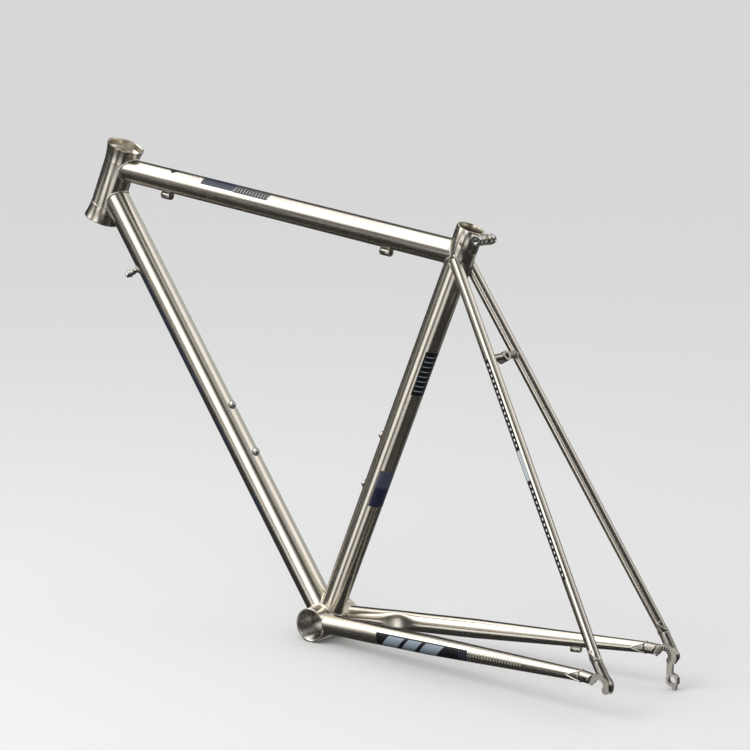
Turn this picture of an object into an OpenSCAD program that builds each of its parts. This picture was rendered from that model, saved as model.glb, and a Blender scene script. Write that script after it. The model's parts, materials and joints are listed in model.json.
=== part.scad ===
// Road bicycle frame with side-pull brake bridge, welded from round tubes.
// +X points to the head tube, +Y to the rider's left, +Z up.
// The origin is the centre of the bottom bracket shell. The frame stands as
// it rests on a floor: on the shell and on the tip of the derailleur hanger.

/* [Frame geometry] */
// Seat tube length, shell centre to collar rim (mm)
seat_tube_length = 508.5; // [490:0.5:560]
// Seat tube angle in riding position (deg)
seat_angle = 74; // [73:0.1:75]
// Head tube angle in riding position (deg)
head_angle = 72.5; // [71.5:0.1:73.5]
// Top tube length, seat tube axis to head tube axis (mm)
top_tube_length = 514.5; // [500:0.5:560]
// Rise of the top tube towards the head tube in riding position (deg)
top_tube_rise = 1.5; // [0:0.1:3]
// Chainstay length, shell centre to rear axle (mm)
chainstay_length = 409; // [403:0.1:415]
// Depth of the shell centre below the rear axle when riding (mm)
shell_drop = 62; // [55:0.5:70]
// How far the nose is raised while the frame rests on a floor (deg)
nose_up = 6.4; // [5.5:0.1:7]

/* [Tubes] */
// Top tube and seat tube outside diameter (mm)
tube_d = 28.6; // [28:0.1:28.8]
// Down tube outside diameter (mm)
down_tube_d = 31.8; // [31:0.1:34.9]
// Tube wall (mm)
wall = 0.8; // [0.7:0.05:1.2]
// Chainstay diameter at the shell (mm)
chainstay_d = 22.2; // [20:0.1:23]
// Chainstay diameter at the dropout (mm)
chainstay_end_d = 12.6; // [12:0.1:14]
// Seatstay diameter at the seat tube (mm)
seatstay_d = 12.7; // [12:0.1:14]
// Seatstay diameter at the dropout (mm)
seatstay_end_d = 11.4; // [11:0.1:12]

/* [Head tube] */
// Head tube length (mm)
head_tube_length = 99.5; // [95:0.5:120]
// Diameter of the flared rims (mm)
head_rim_d = 46; // [46:0.2:48]
// Diameter of the middle of the head tube (mm)
head_waist_d = 39.4; // [39:0.1:41]
// Bearing seat diameter, upper and lower (mm)
bearing_seat_d = 41.95; // [41:0.05:42]
// Steerer passage diameter (mm)
head_bore_d = 36.2; // [34:0.1:36.4]
// Top tube axis below the upper rim (mm)
top_tube_drop = 29.8; // [29:0.1:33]
// Down tube axis below the upper rim (mm)
down_tube_drop = 59.4; // [59:0.1:62]

/* [Shell, collar and rear end] */
// Bottom bracket shell outside diameter (mm)
shell_d = 40; // [39:0.1:41]
// Bottom bracket shell bore (mm)
shell_bore_d = 34.4; // [33.6:0.1:34.8]
// Bottom bracket shell width (mm)
shell_width = 68; // [68:1:70]
// Seat collar outside diameter (mm)
collar_d = 31.2; // [31:0.1:32]
// Seatpost diameter (mm)
seatpost_d = 27.2; // [27:0.1:27.2]
// Depth to which the seat tube is reamed for the post (mm)
ream_depth = 250; // [150:5:255]
// Inside diameter of the seat tube below the reamed part (mm)
seat_tube_bore_d = 26.6; // [26.4:0.1:26.8]
// Rear axle spacing between the dropouts (mm)
rear_spacing = 130; // [126:1:132]
// Bottle boss spacing (mm)
boss_spacing = 64; // [64:1:65]

/* [Hidden] */
$fn = 96;

metal = [0.66, 0.63, 0.58];
bright = [0.78, 0.76, 0.72];
screw = [0.55, 0.55, 0.56];

// Angles from the floor, with the frame at rest.
seat_lean = 180 - (seat_angle - nose_up);
head_lean = 180 - (head_angle - nose_up);
top_lean = top_tube_rise + nose_up;
axle_lean = asin(shell_drop / chainstay_length) - nose_up;

function ray(a) = [cos(a), 0, sin(a)];
function flip(p, side) = [p[0], p[1] * side, p[2]];
function mix(a, b, t) = a + (b - a) * t;

collar_r = collar_d / 2;
tube_r = tube_d / 2;
seat_top = seat_tube_length * ray(seat_lean);
top_at_seat = seat_top - 31.3 * ray(seat_lean);
top_at_head = top_at_seat + top_tube_length * ray(top_lean);
head_top = top_at_head + top_tube_drop * ray(head_lean);
down_at_head = head_top - down_tube_drop * ray(head_lean);
down_lean = atan2(down_at_head[2], down_at_head[0]);
down_length = norm(down_at_head);
axle = [-chainstay_length * cos(axle_lean), 0, chainstay_length * sin(axle_lean)];

// A point beside the seat tube: forward, left and up from the collar rim.
function by_seat(x, y, z) = seat_top + x * ray(seat_lean - 90) + [0, y, 0] + z * ray(seat_lean);

// Left-hand stay axes; the right-hand ones are their mirror images.
drop_y = rear_spacing / 2;
cs_root = [0, 22.7, 1.9];
cs_far = [axle[0] + 7, drop_y + 3, axle[2] + 6];
cs_end = mix(cs_root, cs_far, 0.962);
ss_top = by_seat(-1.3, 11.2, -37.2);
ss_end = [axle[0] + 2.9, drop_y + 4.5, axle[2] + 25];
ss_foot = [axle[0] - 10.6, drop_y + 4.4, axle[2] + 0.8];
cs_len = norm(cs_end - cs_root);
ss_len = norm(ss_end - ss_top);
bridge_at = mix(ss_top, ss_end, 0.2577);
binder_at = [-20.6, 0, -4.7];
plate = 4.5;
stop_y = axle[2] + shell_d / 2;

// Fasteners: M5 shank, its running hole and the pitch of its thread.
shank_r = 2.45;
hole_r = 2.5;

module lean(p, a) {
  translate(p) rotate([0, 90 - a, 0]) children();
}

// Local Z runs from a towards b.
module aim(a, b) {
  d = b - a;
  translate(a) rotate([0, acos(d[2] / norm(d)), atan2(d[1], d[0])]) children();
}

module rod(a, b, r1, r2) {
  aim(a, b) cylinder(h = norm(b - a), r1 = r1, r2 = r2);
}

module at_seat() {
  lean(seat_top, seat_lean) children();
}

module at_head() {
  lean(head_top, head_lean) children();
}

module hex_socket(across, depth) {
  cylinder(h = depth, r = across / 2 / cos(30), $fn = 6);
}

// ---- outside shapes that neighbouring tubes are cut back to ----

// Half profile of the head tube, flared at both ends with a small step.
rim_r = head_rim_d / 2;
waist_r = head_waist_d / 2;
function flare(i, n) = waist_r + 0.3 + (rim_r - waist_r - 0.3) * pow(1 - i / n, 1.7);
head_side = concat(
  [for (i = [0:8]) [flare(i, 8), -i * 21 / 8]],
  [[waist_r, -21.2], [waist_r, 20.2 - head_tube_length]],
  [for (i = [8:-1:0]) [flare(i, 8), i * 20 / 8 - head_tube_length]]);

module head_outline() {
  at_head() rotate_extrude() polygon(concat([[0, 0]], head_side, [[0, -head_tube_length]]));
}

module shell_outline(extra = 0) {
  rotate([90, 0, 0]) cylinder(h = shell_width + extra, d = shell_d, center = true);
}

// The collar is cut off obliquely, long at the back.
module collar_outline() {
  at_seat() difference() {
    translate([0, 0, -64]) cylinder(h = 64, r = collar_r);
    translate([0, 0, -39]) rotate([0, -54.5, 0]) translate([-100, -50, -100]) cube([200, 100, 100]);
  }
}

module seat_outline() {
  lean([0, 0, 0], seat_lean) cylinder(h = seat_tube_length - 12, r = tube_r);
}

module chainstay_outline(side, skin = 0) {
  r1 = chainstay_d / 2 - skin;
  r2 = chainstay_end_d / 2 - skin;
  aim(flip(cs_root, side), flip(cs_end, side)) rotate_extrude()
    polygon([[0, 0], [r1, 0], [r1, cs_len * 0.46], [r2, cs_len], [0, cs_len]]);
}

module seatstay_outline(side, skin = 0) {
  r1 = seatstay_d / 2 - skin;
  r2 = seatstay_end_d / 2 - skin;
  aim(flip(ss_top, side), flip(ss_end, side)) rotate_extrude()
    polygon([[0, 0], [r1, 0], [r1, ss_len * 0.5], [r2, ss_len], [0, ss_len]]);
}

// Wedge that opens the end of a stay, seen from the side of the bike.
module fish_mouth(a, b, depth) {
  aim(a, b) translate([0, 0, norm(b - a)]) rotate([90, 0, 0])
    linear_extrude(height = 60, center = true)
      polygon([[-9, 0.6], [-5.4, 0], [0, -depth], [5.4, 0], [9, 0.6], [0, 9]]);
}

// ---- tubes ----

module head_tube() {
  seat_r = bearing_seat_d / 2;
  bore_r = head_bore_d / 2;
  h = head_tube_length;
  // One end: chamfered mouth, bearing seat, cone to the steerer passage.
  mouth = [[rim_r - 0.9, 0], [seat_r, -1], [seat_r, -8], [bore_r, -8 - (seat_r - bore_r)]];
  color(metal) at_head() rotate_extrude()
    polygon(concat(head_side, [for (i = [0:3]) [mouth[i][0], -h - mouth[i][1]]],
                   [for (i = [3:-1:0]) mouth[i]]));
}

module top_tube() {
  color(metal) difference() {
    rod(top_at_seat, top_at_head, tube_r, tube_r);
    lean(top_at_seat, top_lean) translate([0, 0, -1])
      cylinder(h = top_tube_length + 2, r = tube_r - wall);
    head_outline();
    collar_outline();
    seat_outline();
  }
}

module down_tube() {
  r = down_tube_d / 2;
  color(metal) difference() {
    rod([0, 0, 0], down_at_head, r, r);
    lean([0, 0, 0], down_lean) translate([0, 0, -1])
      cylinder(h = down_length + 2, r = r - wall);
    head_outline();
    shell_outline();
    seat_outline();
    boss_holes(down_lean, 215.2, -1, r);
  }
}

module seat_tube() {
  color(metal) difference() {
    seat_outline();
    lean([0, 0, 0], seat_lean) {
      translate([0, 0, -1]) cylinder(h = seat_tube_length + 2, d = seat_tube_bore_d);
      translate([0, 0, seat_tube_length - ream_depth]) cylinder(h = ream_depth + 1, d = seatpost_d);
    }
    shell_outline();
    boss_holes(seat_lean, 176.4, 1, tube_r);
    clamp_slots();
  }
}

// Vertical slot at the back and the oblique relief cuts beside it.
module clamp_slots() {
  at_seat() {
    translate([-40, -1.2, -26]) cube([40, 2.4, 40]);
    translate([0, 0, -15.8]) rotate([0, -31, 0]) translate([-40, -40, -0.35]) cube([38.6, 80, 0.7]);
  }
}

module seat_collar() {
  color(metal) difference() {
    union() {
      collar_outline();
      at_seat() for (s = [-1, 1]) {
        translate(binder_at + [0, s > 0 ? 0 : -9, 0]) rotate([-90, 0, 0]) cylinder(h = 9, r = 5.9);
        translate(binder_at + [0, s > 0 ? 0 : -8, -4.6]) cube([8, 8, 8.6]);
      }
    }
    at_seat() {
      translate([0, 0, -70]) cylinder(h = 72, d = seatpost_d);
      translate([0, 0, -70]) cylinder(h = 58, r = tube_r);
      translate(binder_at) rotate([90, 0, 0]) cylinder(h = 60, r = hole_r, center = true);
    }
    clamp_slots();
  }
}

module bottom_bracket_shell() {
  r = shell_bore_d / 2;
  w = shell_width / 2;
  color(metal) difference() {
    rotate([90, 0, 0]) rotate_extrude()
      polygon([[r, -w + 0.8], [r + 0.8, -w], [shell_d / 2 - 0.4, -w], [shell_d / 2, -w + 0.4],
               [shell_d / 2, w - 0.4], [shell_d / 2 - 0.4, w], [r + 0.8, w], [r, w - 0.8]]);
    translate([0, 20.5, -25]) cylinder(h = 15, r = 2);
  }
}

// The tyre runs between the chainstays, which are hollowed for it.
module tyre_dent(side, skin = 0) {
  at = flip(mix(cs_root, cs_far, 0.205), side);
  translate([at[0], at[1] - side * (88 + chainstay_d / 2 - 4.6), -60]) cylinder(h = 140, r = 88 + skin);
}

module chainstay(side) {
  color(metal) difference() {
    chainstay_outline(side);
    difference() {
      chainstay_outline(side, wall);
      tyre_dent(side, wall);
    }
    tyre_dent(side);
    shell_outline(20);
    seat_outline();
    fish_mouth(flip(cs_root, side), flip(cs_end, side), 16);
  }
}

module chainstay_left() {
  chainstay(1);
}

module chainstay_right() {
  chainstay(-1);
}

module seatstay(side) {
  color(metal) difference() {
    seatstay_outline(side);
    seatstay_outline(side, wall);
    collar_outline();
    seat_outline();
    fish_mouth(flip(ss_top, side), flip(ss_end, side), 12);
  }
  // Flat cap that closes the top of the stay.
  a = flip(ss_top, side);
  b = flip(ss_end, side);
  color(metal) difference() {
    aim(a, b) cylinder(h = 1, r = seatstay_d / 2);
    collar_outline();
    seat_outline();
  }
}

module seatstay_left() {
  seatstay(1);
}

module seatstay_right() {
  seatstay(-1);
}

// Cross tube and barrel that carry the rear brake.
module brake_bridge() {
  c = [bridge_at[0] - 1.5, 0, bridge_at[2]];
  color(metal) difference() {
    union() {
      translate([bridge_at[0], 0, bridge_at[2]]) rotate([90, 0, 0])
        cylinder(h = 2 * bridge_at[1], r = 4.2, center = true);
      translate(c) rotate([0, -60, 0]) translate([0, 0, -7.5]) cylinder(h = 11.6, r = 5.7);
    }
    translate(c) rotate([0, -60, 0]) {
      cylinder(h = 40, r = 3.1, center = true);
      translate([0, 0, -20]) cylinder(h = 16, r = 4.1);
    }
    for (s = [-1, 1]) seatstay_outline(s);
  }
}

// ---- dropouts ----

// Stands children on the axle, from y outwards, h thick: local X forward, Y down.
module across(side, y, h) {
  translate([axle[0], side > 0 ? y : -y - h, axle[2]]) rotate([-90, 0, 0]) children();
}

// Solid hooded end: a plate around the axle and two round necks to the stays.
module dropout_body(side) {
  difference() {
    union() {
      across(side, drop_y, plate) translate([-3, 0, 0]) cylinder(h = plate, r = 12.9);
      rod(flip(ss_end, side), flip(ss_foot, side), seatstay_end_d / 2, 6.1);
      translate(flip(ss_foot, side)) sphere(r = 6.6);
      rod(flip(cs_end, side), flip([axle[0] + 5, drop_y + 3.6, axle[2] + 4.6], side),
          chainstay_end_d / 2, 6);
    }
    // Seats for the hub on the inside and for the axle nut on the outside.
    across(side, drop_y - 25, 25) translate([-2, 0, 0]) cylinder(h = 25, r = 14.4);
    across(side, drop_y + plate, 15) translate([-1.5, 0, 0]) cylinder(h = 15, r = 13.3);
    axle_slot();
    axle_teeth(side);
  }
  // Rounded tip of the rear leg.
  across(side, drop_y, plate) translate([-8.1, 4.5, 0]) cylinder(h = plate, r = 4.4);
}

// Axle slot with a flared mouth, open downwards; it also trims both legs.
module axle_slot() {
  translate([axle[0], 0, axle[2]]) rotate([90, 0, 0]) rotate([0, 0, nose_up]) {
    cylinder(h = 200, r = 5.2, center = true);
    linear_extrude(height = 200, center = true)
      polygon([[0, 0], [-5.1, 0.5], [-5.1, -5.6], [-30, -5.6], [-30, -40], [20, -40],
               [20, -3.8], [8.4, -3.4], [4.9, 1.2]]);
  }
}

// Radial teeth that bite the hub's locknut.
module axle_teeth(side) {
  translate([axle[0], side * drop_y, axle[2]]) for (i = [-1:12])
    rotate([0, -i * 18 - 9, 0]) translate([4.6, -0.6, -0.75]) cube([5.6, 1.2, 1.5]);
}

// Plugs that fill the ends of the stays.
module plugs(side) {
  cs_back = mix(cs_end, cs_root, 18 / cs_len);
  ss_back = mix(ss_end, ss_top, 14 / ss_len);
  cs_r = chainstay_end_d / 2 - wall;
  ss_r = seatstay_end_d / 2 - wall;
  rod(flip(cs_back, side), flip(mix(cs_end, cs_root, -2 / cs_len), side), cs_r, cs_r);
  rod(flip(ss_back, side), flip(mix(ss_end, ss_top, -2 / ss_len), side), ss_r, ss_r);
}

module dropout_left() {
  color(bright) {
    dropout_body(1);
    plugs(1);
  }
}

// The right-hand dropout carries the threaded derailleur hanger.
module dropout_right() {
  hole = [-10.9, 25.6, 0];
  color(bright) {
    difference() {
      union() {
        dropout_body(-1);
        across(-1, drop_y, plate) translate([-10.9, 5, 0]) cube([6.6, 16, plate]);
        across(-1, drop_y, 7) translate(hole) cylinder(h = 7, r = 7.2);
        across(-1, drop_y + 1, 4) {
          translate([-13.6, stop_y - 2.2, 0]) cylinder(h = 4, r = 2.2);
          translate([-15.8, stop_y - 9, 0]) cube([4.4, 6.8, 4]);
        }
      }
      across(-1, drop_y - 10, 30) translate(hole) cylinder(h = 30, r = 4.6);
      across(-1, drop_y + 6, 4) translate(hole) cylinder(h = 4, r1 = 4.6, r2 = 8.6);
    }
    plugs(-1);
  }
}

// ---- cable stops ----

// Slotted barrel below a tube: local Z along the tube, X away from it.
module cable_stop(r, length, base, open_end) {
  difference() {
    union() {
      cylinder(h = length, r = r);
      translate([-base, -r * 0.62, 0]) cube([base, r * 1.24, length]);
    }
    translate([0, 0, -1]) cylinder(h = length + 2, r = 1.1);
    translate([0, 0, open_end > 0 ? 3.5 : -1]) cylinder(h = length - 2.5, r = r * 0.54);
    translate([0, -0.9, -1]) cube([r + 1, 1.8, length + 2]);
  }
}

module top_tube_stop(at, open_end) {
  color(bright) difference() {
    lean(top_at_seat, top_lean) translate([tube_r + 3.9, 0, at]) cable_stop(5, 13, 6, open_end);
    rod(top_at_seat, top_at_head, tube_r, tube_r);
  }
}

module top_tube_stop_front() {
  top_tube_stop(425, 1);
}

module top_tube_stop_rear() {
  top_tube_stop(93.5, -1);
}

module chainstay_stop() {
  a = flip(mix(cs_root, cs_end, 0.787), -1);
  b = flip(cs_end, -1);
  r = 7.95;
  color(bright) difference() {
    aim(a, b) rotate([0, 0, 2]) translate([r + 2.8, 0, -6.6]) cable_stop(3.8, 11.6, 4, 1);
    chainstay_outline(-1);
  }
}

// ---- shifter bosses on the down tube ----

module by_down_tube(side) {
  lean([0, 0, 0], down_lean) translate([0, 0, 485.2]) rotate([0, 0, side * 39]) rotate([0, 90, 0])
    children();
}

module shifter_boss(side) {
  color(bright) difference() {
    by_down_tube(side) rotate_extrude()
      polygon([[0, 12], [4.2, 12], [4.2, 16.4], [2.95, 17.6], [2.95, 20.4], [3.6, 20.8], [3.6, 24.6],
               [hole_r, 24.6], [hole_r, 17], [0, 17]]);
    rod([0, 0, 0], down_at_head, down_tube_d / 2, down_tube_d / 2);
  }
}

module shifter_boss_left() {
  shifter_boss(1);
}

module shifter_boss_right() {
  shifter_boss(-1);
}

module shifter_washer(side) {
  color(bright) by_down_tube(side) rotate_extrude()
    polygon([[2.6, 24.9], [4.3, 24.9], [4.8, 25.4], [4.8, 27.2], [4.2, 27.8], [2.6, 27.8]]);
}

module shifter_washer_left() {
  shifter_washer(1);
}

module shifter_washer_right() {
  shifter_washer(-1);
}

module shifter_bolt(side) {
  color(screw) by_down_tube(side) difference() {
    rotate_extrude() polygon([[0, 17.4], [2, 17.4], [shank_r, 17.9], [shank_r, 28.1], [3.5, 28.1],
                              [3.5, 30.6], [2.9, 31.5], [1.9, 31.9], [0, 31.9]]);
    translate([0, 0, 29.7]) hex_socket(3, 4);
  }
}

module shifter_bolt_left() {
  shifter_bolt(1);
}

module shifter_bolt_right() {
  shifter_bolt(-1);
}

// ---- bottle cage bosses and bolts ----

// Places children at both bosses of a tube, local Z standing out of the tube.
module at_bosses(a, first, dir) {
  for (i = [0, 1]) lean([0, 0, 0], a) translate([0, 0, first + i * boss_spacing])
    rotate([0, 90 * dir, 0]) children();
}

module boss_holes(a, first, dir, r) {
  at_bosses(a, first, dir) translate([0, 0, r - 5]) cylinder(h = 8, r = 3.6);
}

module bottle_bosses() {
  color(bright) {
    at_bosses(down_lean, 215.2, -1) boss(down_tube_d / 2);
    at_bosses(seat_lean, 176.4, 1) boss(tube_r);
  }
}

module boss(r) {
  rotate_extrude() polygon([[hole_r, r - 9], [3.6, r - 9], [3.6, r + 0.15], [5, r + 0.15],
                            [5, r + 0.9], [4.2, r + 1.5], [hole_r, r + 1.5]]);
}

module bottle_bolts() {
  color(screw) {
    at_bosses(down_lean, 215.2, -1) bottle_bolt(down_tube_d / 2);
    at_bosses(seat_lean, 176.4, 1) bottle_bolt(tube_r);
  }
}

module bottle_bolt(r) {
  difference() {
    rotate_extrude() polygon([[0, r - 9.5], [2, r - 9.5], [shank_r, r - 9], [shank_r, r + 1.5],
                              [4.2, r + 1.5], [4.2, r + 2.6], [3.5, r + 4], [2.2, r + 4.8], [0, r + 5]]);
    translate([0, 0, r + 2.6]) hex_socket(3, 4);
  }
}

// ---- seat collar fasteners ----

module at_binder() {
  at_seat() translate(binder_at) rotate([-90, 0, 0]) children();
}

module binder_washer() {
  color(bright) at_binder() rotate_extrude()
    polygon([[2.6, 9.1], [5.5, 9.1], [5.8, 9.4], [5.8, 10.1], [5.5, 10.4], [2.6, 10.4]]);
}

module binder_bolt() {
  color(screw) at_binder() difference() {
    rotate_extrude() polygon([[0, -13.6], [2, -13.6], [shank_r, -13.1], [shank_r, 10.7], [5.8, 10.7],
                              [5.8, 15.4], [5.2, 16.2], [0, 16.2]]);
    translate([0, 0, 12.4]) hex_socket(5, 6);
    translate([0, 0, 15.6]) cylinder(h = 2, r1 = 2.9, r2 = 4.5);
  }
}

module binder_nut() {
  color(bright) at_binder() rotate_extrude()
    polygon([[hole_r, -9], [5.9, -9], [6.2, -9.4], [6.2, -12.6], [5.8, -13], [5.6, -16.2],
             [4.8, -16.9], [hole_r, -16.9]]);
}

head_tube();
top_tube();
down_tube();
seat_tube();
seat_collar();
bottom_bracket_shell();
chainstay_left();
chainstay_right();
seatstay_left();
seatstay_right();
brake_bridge();
dropout_left();
dropout_right();
top_tube_stop_front();
top_tube_stop_rear();
chainstay_stop();
shifter_boss_left();
shifter_boss_right();
shifter_washer_left();
shifter_washer_right();
shifter_bolt_left();
shifter_bolt_right();
bottle_bosses();
bottle_bolts();
binder_washer();
binder_bolt();
binder_nut();
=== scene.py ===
"""Looks of a bare road bicycle frame: brushed tubes, weld beads, turned fittings and plain tube graphics."""

import json
import math
import random

import bpy
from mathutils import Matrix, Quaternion, Vector
from mathutils.bvhtree import BVHTree


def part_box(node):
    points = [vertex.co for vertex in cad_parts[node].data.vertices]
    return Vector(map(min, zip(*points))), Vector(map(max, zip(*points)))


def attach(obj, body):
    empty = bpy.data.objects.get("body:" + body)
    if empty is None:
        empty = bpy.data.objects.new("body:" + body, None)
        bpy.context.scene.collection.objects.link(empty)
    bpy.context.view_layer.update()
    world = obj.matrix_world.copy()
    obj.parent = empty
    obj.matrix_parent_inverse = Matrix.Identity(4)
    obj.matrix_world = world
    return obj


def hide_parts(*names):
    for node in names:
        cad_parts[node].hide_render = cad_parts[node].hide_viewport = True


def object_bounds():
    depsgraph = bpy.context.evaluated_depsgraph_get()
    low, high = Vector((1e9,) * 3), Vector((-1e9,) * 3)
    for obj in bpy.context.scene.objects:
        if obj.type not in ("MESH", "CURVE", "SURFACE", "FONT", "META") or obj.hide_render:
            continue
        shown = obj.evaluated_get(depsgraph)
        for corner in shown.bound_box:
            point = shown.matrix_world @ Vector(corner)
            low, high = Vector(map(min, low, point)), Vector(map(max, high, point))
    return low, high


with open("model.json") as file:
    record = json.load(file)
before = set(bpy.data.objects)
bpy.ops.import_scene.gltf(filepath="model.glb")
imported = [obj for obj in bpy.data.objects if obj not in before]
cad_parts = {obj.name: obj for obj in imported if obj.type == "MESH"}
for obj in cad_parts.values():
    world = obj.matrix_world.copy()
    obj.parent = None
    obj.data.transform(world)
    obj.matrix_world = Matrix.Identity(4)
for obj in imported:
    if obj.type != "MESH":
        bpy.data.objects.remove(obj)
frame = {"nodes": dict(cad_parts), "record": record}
cad_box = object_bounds()

MM = 0.001
FULL_TURN = 2 * math.pi
FORWARD = Vector((1, 0, 0))
LEFT = Vector((0, 1, 0))
UP = Vector((0, 0, 1))

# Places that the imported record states.
MOUNTS = {m["name"]: m for m in frame["record"]["mounts"]}

# Camera, set to the photograph's viewing angle.
CAMERA_PLACE = Vector((-1.5044, 1.9173, 0.6808))
CAMERA_AZIMUTH = 217.18
CAMERA_ELEVATION = 9.267
CAMERA_ROLL = 0.413
CAMERA_LENS = 103.26
CAMERA_SHIFT = (0.01484, 0.00712)

# Weld beads. The ripple is a share of the bead's radius, the lag a share of the pitch.
RIPPLE_PITCH = 2.0 * MM
RIPPLE_DEPTH = 0.24
RIPPLE_LAG = 0.45
RINGS_PER_RIPPLE = 6
RING_CORNERS = 12

# Screw threads: places across one crest as shares of the pitch, each with a share of the thread's depth.
THREAD_SHAPE = ((-0.42, 0.0), (-0.07, 1.0), (0.07, 1.0), (0.42, 0.0))
THREAD_SUNK = 0.03 * MM

# Main tubes: how far rims and axes are from the mounts that the record states.
MOUNT_BELOW_SEAT_RIM = 40 * MM
HEAD_RIM_PAST_MOUNT = 4.5 * MM
STOP_BELOW_TOP_TUBE = 18.2 * MM
SHELL_R = 20 * MM

# Rear stays. Their ends are counted from the wheel's axle, and the chainstay stops short of its aim.
CHAINSTAY_ROOT = Vector((0, 22.7, 1.9)) * MM
CHAINSTAY_AIM = Vector((7, 68, 6)) * MM
CHAINSTAY_SHARE = 0.962
CHAINSTAY_SHAPE = {"radius": 11.1 * MM, "end_radius": 6.3 * MM, "taper_from": 0.46}
# In millimetres.
SEATSTAY_TOP_BACK = 1.3
SEATSTAY_TOP_OUT = 11.2
SEATSTAY_TOP_BELOW_RIM = 37.2
SEATSTAY_END = Vector((2.9, 69.5, 25)) * MM
SEATSTAY_SHAPE = {"radius": 6.35 * MM, "end_radius": 5.7 * MM, "taper_from": 0.5}


# ---- the tubes, as lines in the frame ----


def mount_place(name):
    """Where the record puts a mount, in metres."""
    return Vector(MOUNTS[name]["pos_m"])


def mount_axis(name):
    """Which way a mount faces, as the record states it."""
    return Vector(MOUNTS[name]["axis"])


def crossing(a, u, b, v):
    """The point of line a + s * u that is nearest to line b + t * v."""
    normal = v.cross(u.cross(v))
    return a + u * ((b - a).dot(normal) / u.dot(normal))


def half_width(node):
    """Half of a CAD node's width across the bike, which is the radius of a tube."""
    low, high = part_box(node)
    return (high.y - low.y) / 2


class Tube:
    """A round tube from a to b. Angles on it start at the direction up and grow towards side."""

    def __init__(self, a, b, radius, end_radius=None, up=UP, side=LEFT, taper_from=0.0):
        self.a, self.b = a, b
        self.length = (b - a).length
        self.axis = (b - a).normalized()
        self.up = (up - self.axis * up.dot(self.axis)).normalized()
        self.side = self.axis.cross(self.up)
        if self.side.dot(side) < 0:
            self.side = -self.side
        self.radius = radius
        self.end_radius = radius if end_radius is None else end_radius
        self.taper_from = taper_from

    def radius_at(self, t):
        """The radius at t metres from a, which shrinks after the share taper_from."""
        share = (t / self.length - self.taper_from) / (1 - self.taper_from)
        share = min(max(share, 0.0), 1.0)
        return self.radius + (self.end_radius - self.radius) * share

    def out(self, angle):
        """The outward direction at an angle in radians."""
        return self.up * math.cos(angle) + self.side * math.sin(angle)

    def point(self, t, angle, extra=0.0):
        """The point of the surface at t and angle, moved outwards by extra."""
        return self.a + self.axis * t + self.out(angle) * (self.radius_at(t) + extra)


def left_right(point, side):
    """A point on the left as it is for side 1, and mirrored to the right for side -1."""
    return Vector((point.x, point.y * side, point.z))


shell_centre = mount_place("bottom_bracket")
seat_axis = mount_axis("seatpost")
seat_forward = Vector((seat_axis.z, 0, -seat_axis.x))
seat_rim = mount_place("seatpost") + seat_axis * MOUNT_BELOW_SEAT_RIM
head_axis = mount_axis("upper_headset")
top_axis = mount_axis("front_cable_stop")
down_up = mount_axis("bottle_mount_down_tube")
down_axis = Vector((down_up.z, 0, -down_up.x))
head_top = mount_place("upper_headset") + head_axis * HEAD_RIM_PAST_MOUNT
head_bottom = mount_place("lower_headset") - head_axis * HEAD_RIM_PAST_MOUNT
above_top_tube = top_axis.cross(LEFT).normalized()
on_top_tube = mount_place("front_cable_stop") + above_top_tube * STOP_BELOW_TOP_TUBE
wheel_axle = (mount_place("axle_slot_left") + mount_place("axle_slot_right")) / 2

SHELL = Tube(
    shell_centre - LEFT * half_width("bottom_bracket_shell"),
    shell_centre + LEFT * half_width("bottom_bracket_shell"),
    SHELL_R,
)
SEAT = Tube(shell_centre, seat_rim, half_width("seat_tube"), up=seat_forward)
HEAD = Tube(head_bottom, head_top, half_width("head_tube"), up=-FORWARD)
TOP = Tube(
    crossing(on_top_tube, top_axis, shell_centre, seat_axis),
    crossing(on_top_tube, top_axis, head_top, head_axis),
    half_width("top_tube"),
)
DOWN = Tube(
    shell_centre,
    crossing(shell_centre, down_axis, head_top, head_axis),
    half_width("down_tube"),
    up=down_up,
)


def chainstay(side):
    """The chainstay on side 1 (left) or -1 (right)."""
    end = CHAINSTAY_ROOT.lerp(wheel_axle + CHAINSTAY_AIM, CHAINSTAY_SHARE)
    return Tube(left_right(CHAINSTAY_ROOT, side), left_right(end, side), side=LEFT * side, **CHAINSTAY_SHAPE)


def seatstay(side):
    """The seatstay on side 1 (left) or -1 (right)."""
    back = seat_forward * -SEATSTAY_TOP_BACK
    top = seat_rim + (back + LEFT * SEATSTAY_TOP_OUT - seat_axis * SEATSTAY_TOP_BELOW_RIM) * MM
    end = wheel_axle + SEATSTAY_END
    return Tube(left_right(top, side), left_right(end, side), side=LEFT * side, **SEATSTAY_SHAPE)


SIDES = {"left": 1, "right": -1}
MOUTH_HALF = 5.4 * MM
MOUTH_DEPTH = {"chainstay": 16 * MM, "seatstay": 12 * MM}
CHAINSTAY = {name: chainstay(side) for name, side in SIDES.items()}
SEATSTAY = {name: seatstay(side) for name, side in SIDES.items()}


# ---- mesh pieces ----


def new_piece(name, vertices, faces, material, body="frame"):
    """One visible piece that rides on a body."""
    mesh = bpy.data.meshes.new(name)
    mesh.from_pydata([tuple(v) for v in vertices], [], faces)
    mesh.validate()
    mesh.shade_smooth()
    mesh.materials.append(material)
    piece = bpy.data.objects.new(name, mesh)
    bpy.context.scene.collection.objects.link(piece)
    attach(piece, body)
    return piece


def grid_faces(rings, corners, closed):
    """Quads between successive rings of a tube, and a cap at each end of an open one."""
    faces = []
    for i in range(rings if closed else rings - 1):
        for k in range(corners):
            j, m = (i + 1) % rings, (k + 1) % corners
            faces.append((i * corners + k, j * corners + k, j * corners + m, i * corners + m))
    if not closed:
        last = (rings - 1) * corners
        faces.append(tuple(range(corners)))
        faces.append(tuple(last + k for k in reversed(range(corners))))
    return faces


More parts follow.
